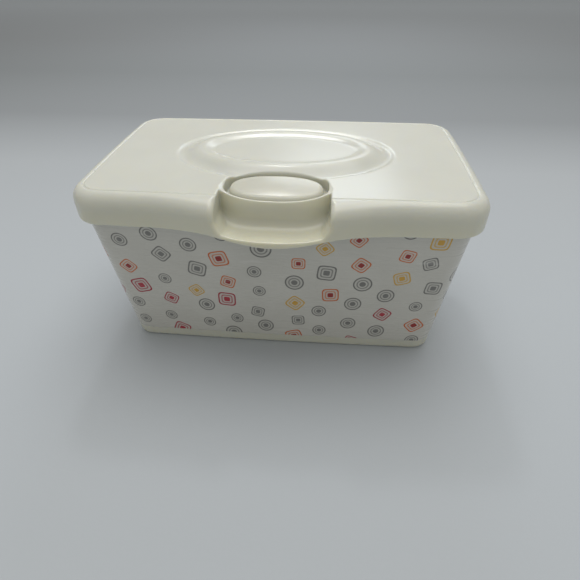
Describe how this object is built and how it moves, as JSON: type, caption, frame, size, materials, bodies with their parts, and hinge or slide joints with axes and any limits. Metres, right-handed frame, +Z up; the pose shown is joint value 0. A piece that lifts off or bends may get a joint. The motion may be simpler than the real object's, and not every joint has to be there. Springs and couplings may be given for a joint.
{
  "type": "countertop wipes dispenser",
  "caption": "Tapered rectangular tub with a printed wrap, a collar with a soft dispensing membrane, and a hinged lid with an oval raised panel, a thumb scoop and a rocking push button.",
  "frame": {"origin": "centre of the tub's flat base, where it stands on the counter", "axes": "+X to the right as seen from the latch side, +Y towards the hinge, +Z up"},
  "size_m": [0.22, 0.144, 0.112],
  "materials": {
    "tub_plastic": "smooth moulded polypropylene, slightly milky",
    "print": "glossy printed film moulded into the wall",
    "lid_plastic": "smooth moulded polypropylene, milky cream white",
    "button_plastic": "smooth moulded plastic, cooler white than the lid",
    "soft_grey": "matt soft elastomer",
    "pin_steel": "drawn steel wire, bright",
    "spring_steel": "spring wire, bright"
  },
  "bodies": {
    "tub": {"tub": "tub_plastic", "printed_wrap": "print"},
    "collar": {"collar": "lid_plastic", "latch_pocket": "lid_plastic", "orifice_membrane": "soft_grey"},
    "lid": {"lid_shell": "lid_plastic", "lid_seal": "soft_grey", "hinge_pin_left": "pin_steel", "hinge_pin_right": "pin_steel", "button_axle": "pin_steel", "button_spring": "spring_steel"},
    "button": {"push_button": "button_plastic"}
  },
  "joints": [
    {"name": "collar_lift", "type": "slide", "parent": "tub", "child": "collar", "axis": [0, 0, 1], "range_m": [0, 0.06]},
    {"name": "lid_hinge", "type": "hinge", "parent": "collar", "child": "lid", "pos_m": [0, 0.0662, 0.094], "axis": [-1, 0, 0], "range_deg": [0, 105]},
    {"name": "button_rock", "type": "hinge", "parent": "lid", "child": "button", "pos_m": [0, -0.0525, 0.098], "axis": [-1, 0, 0], "range_deg": [0, 8], "stiffness_Nm_per_rad": 0.15, "springref_deg": -5.73}
  ]
}
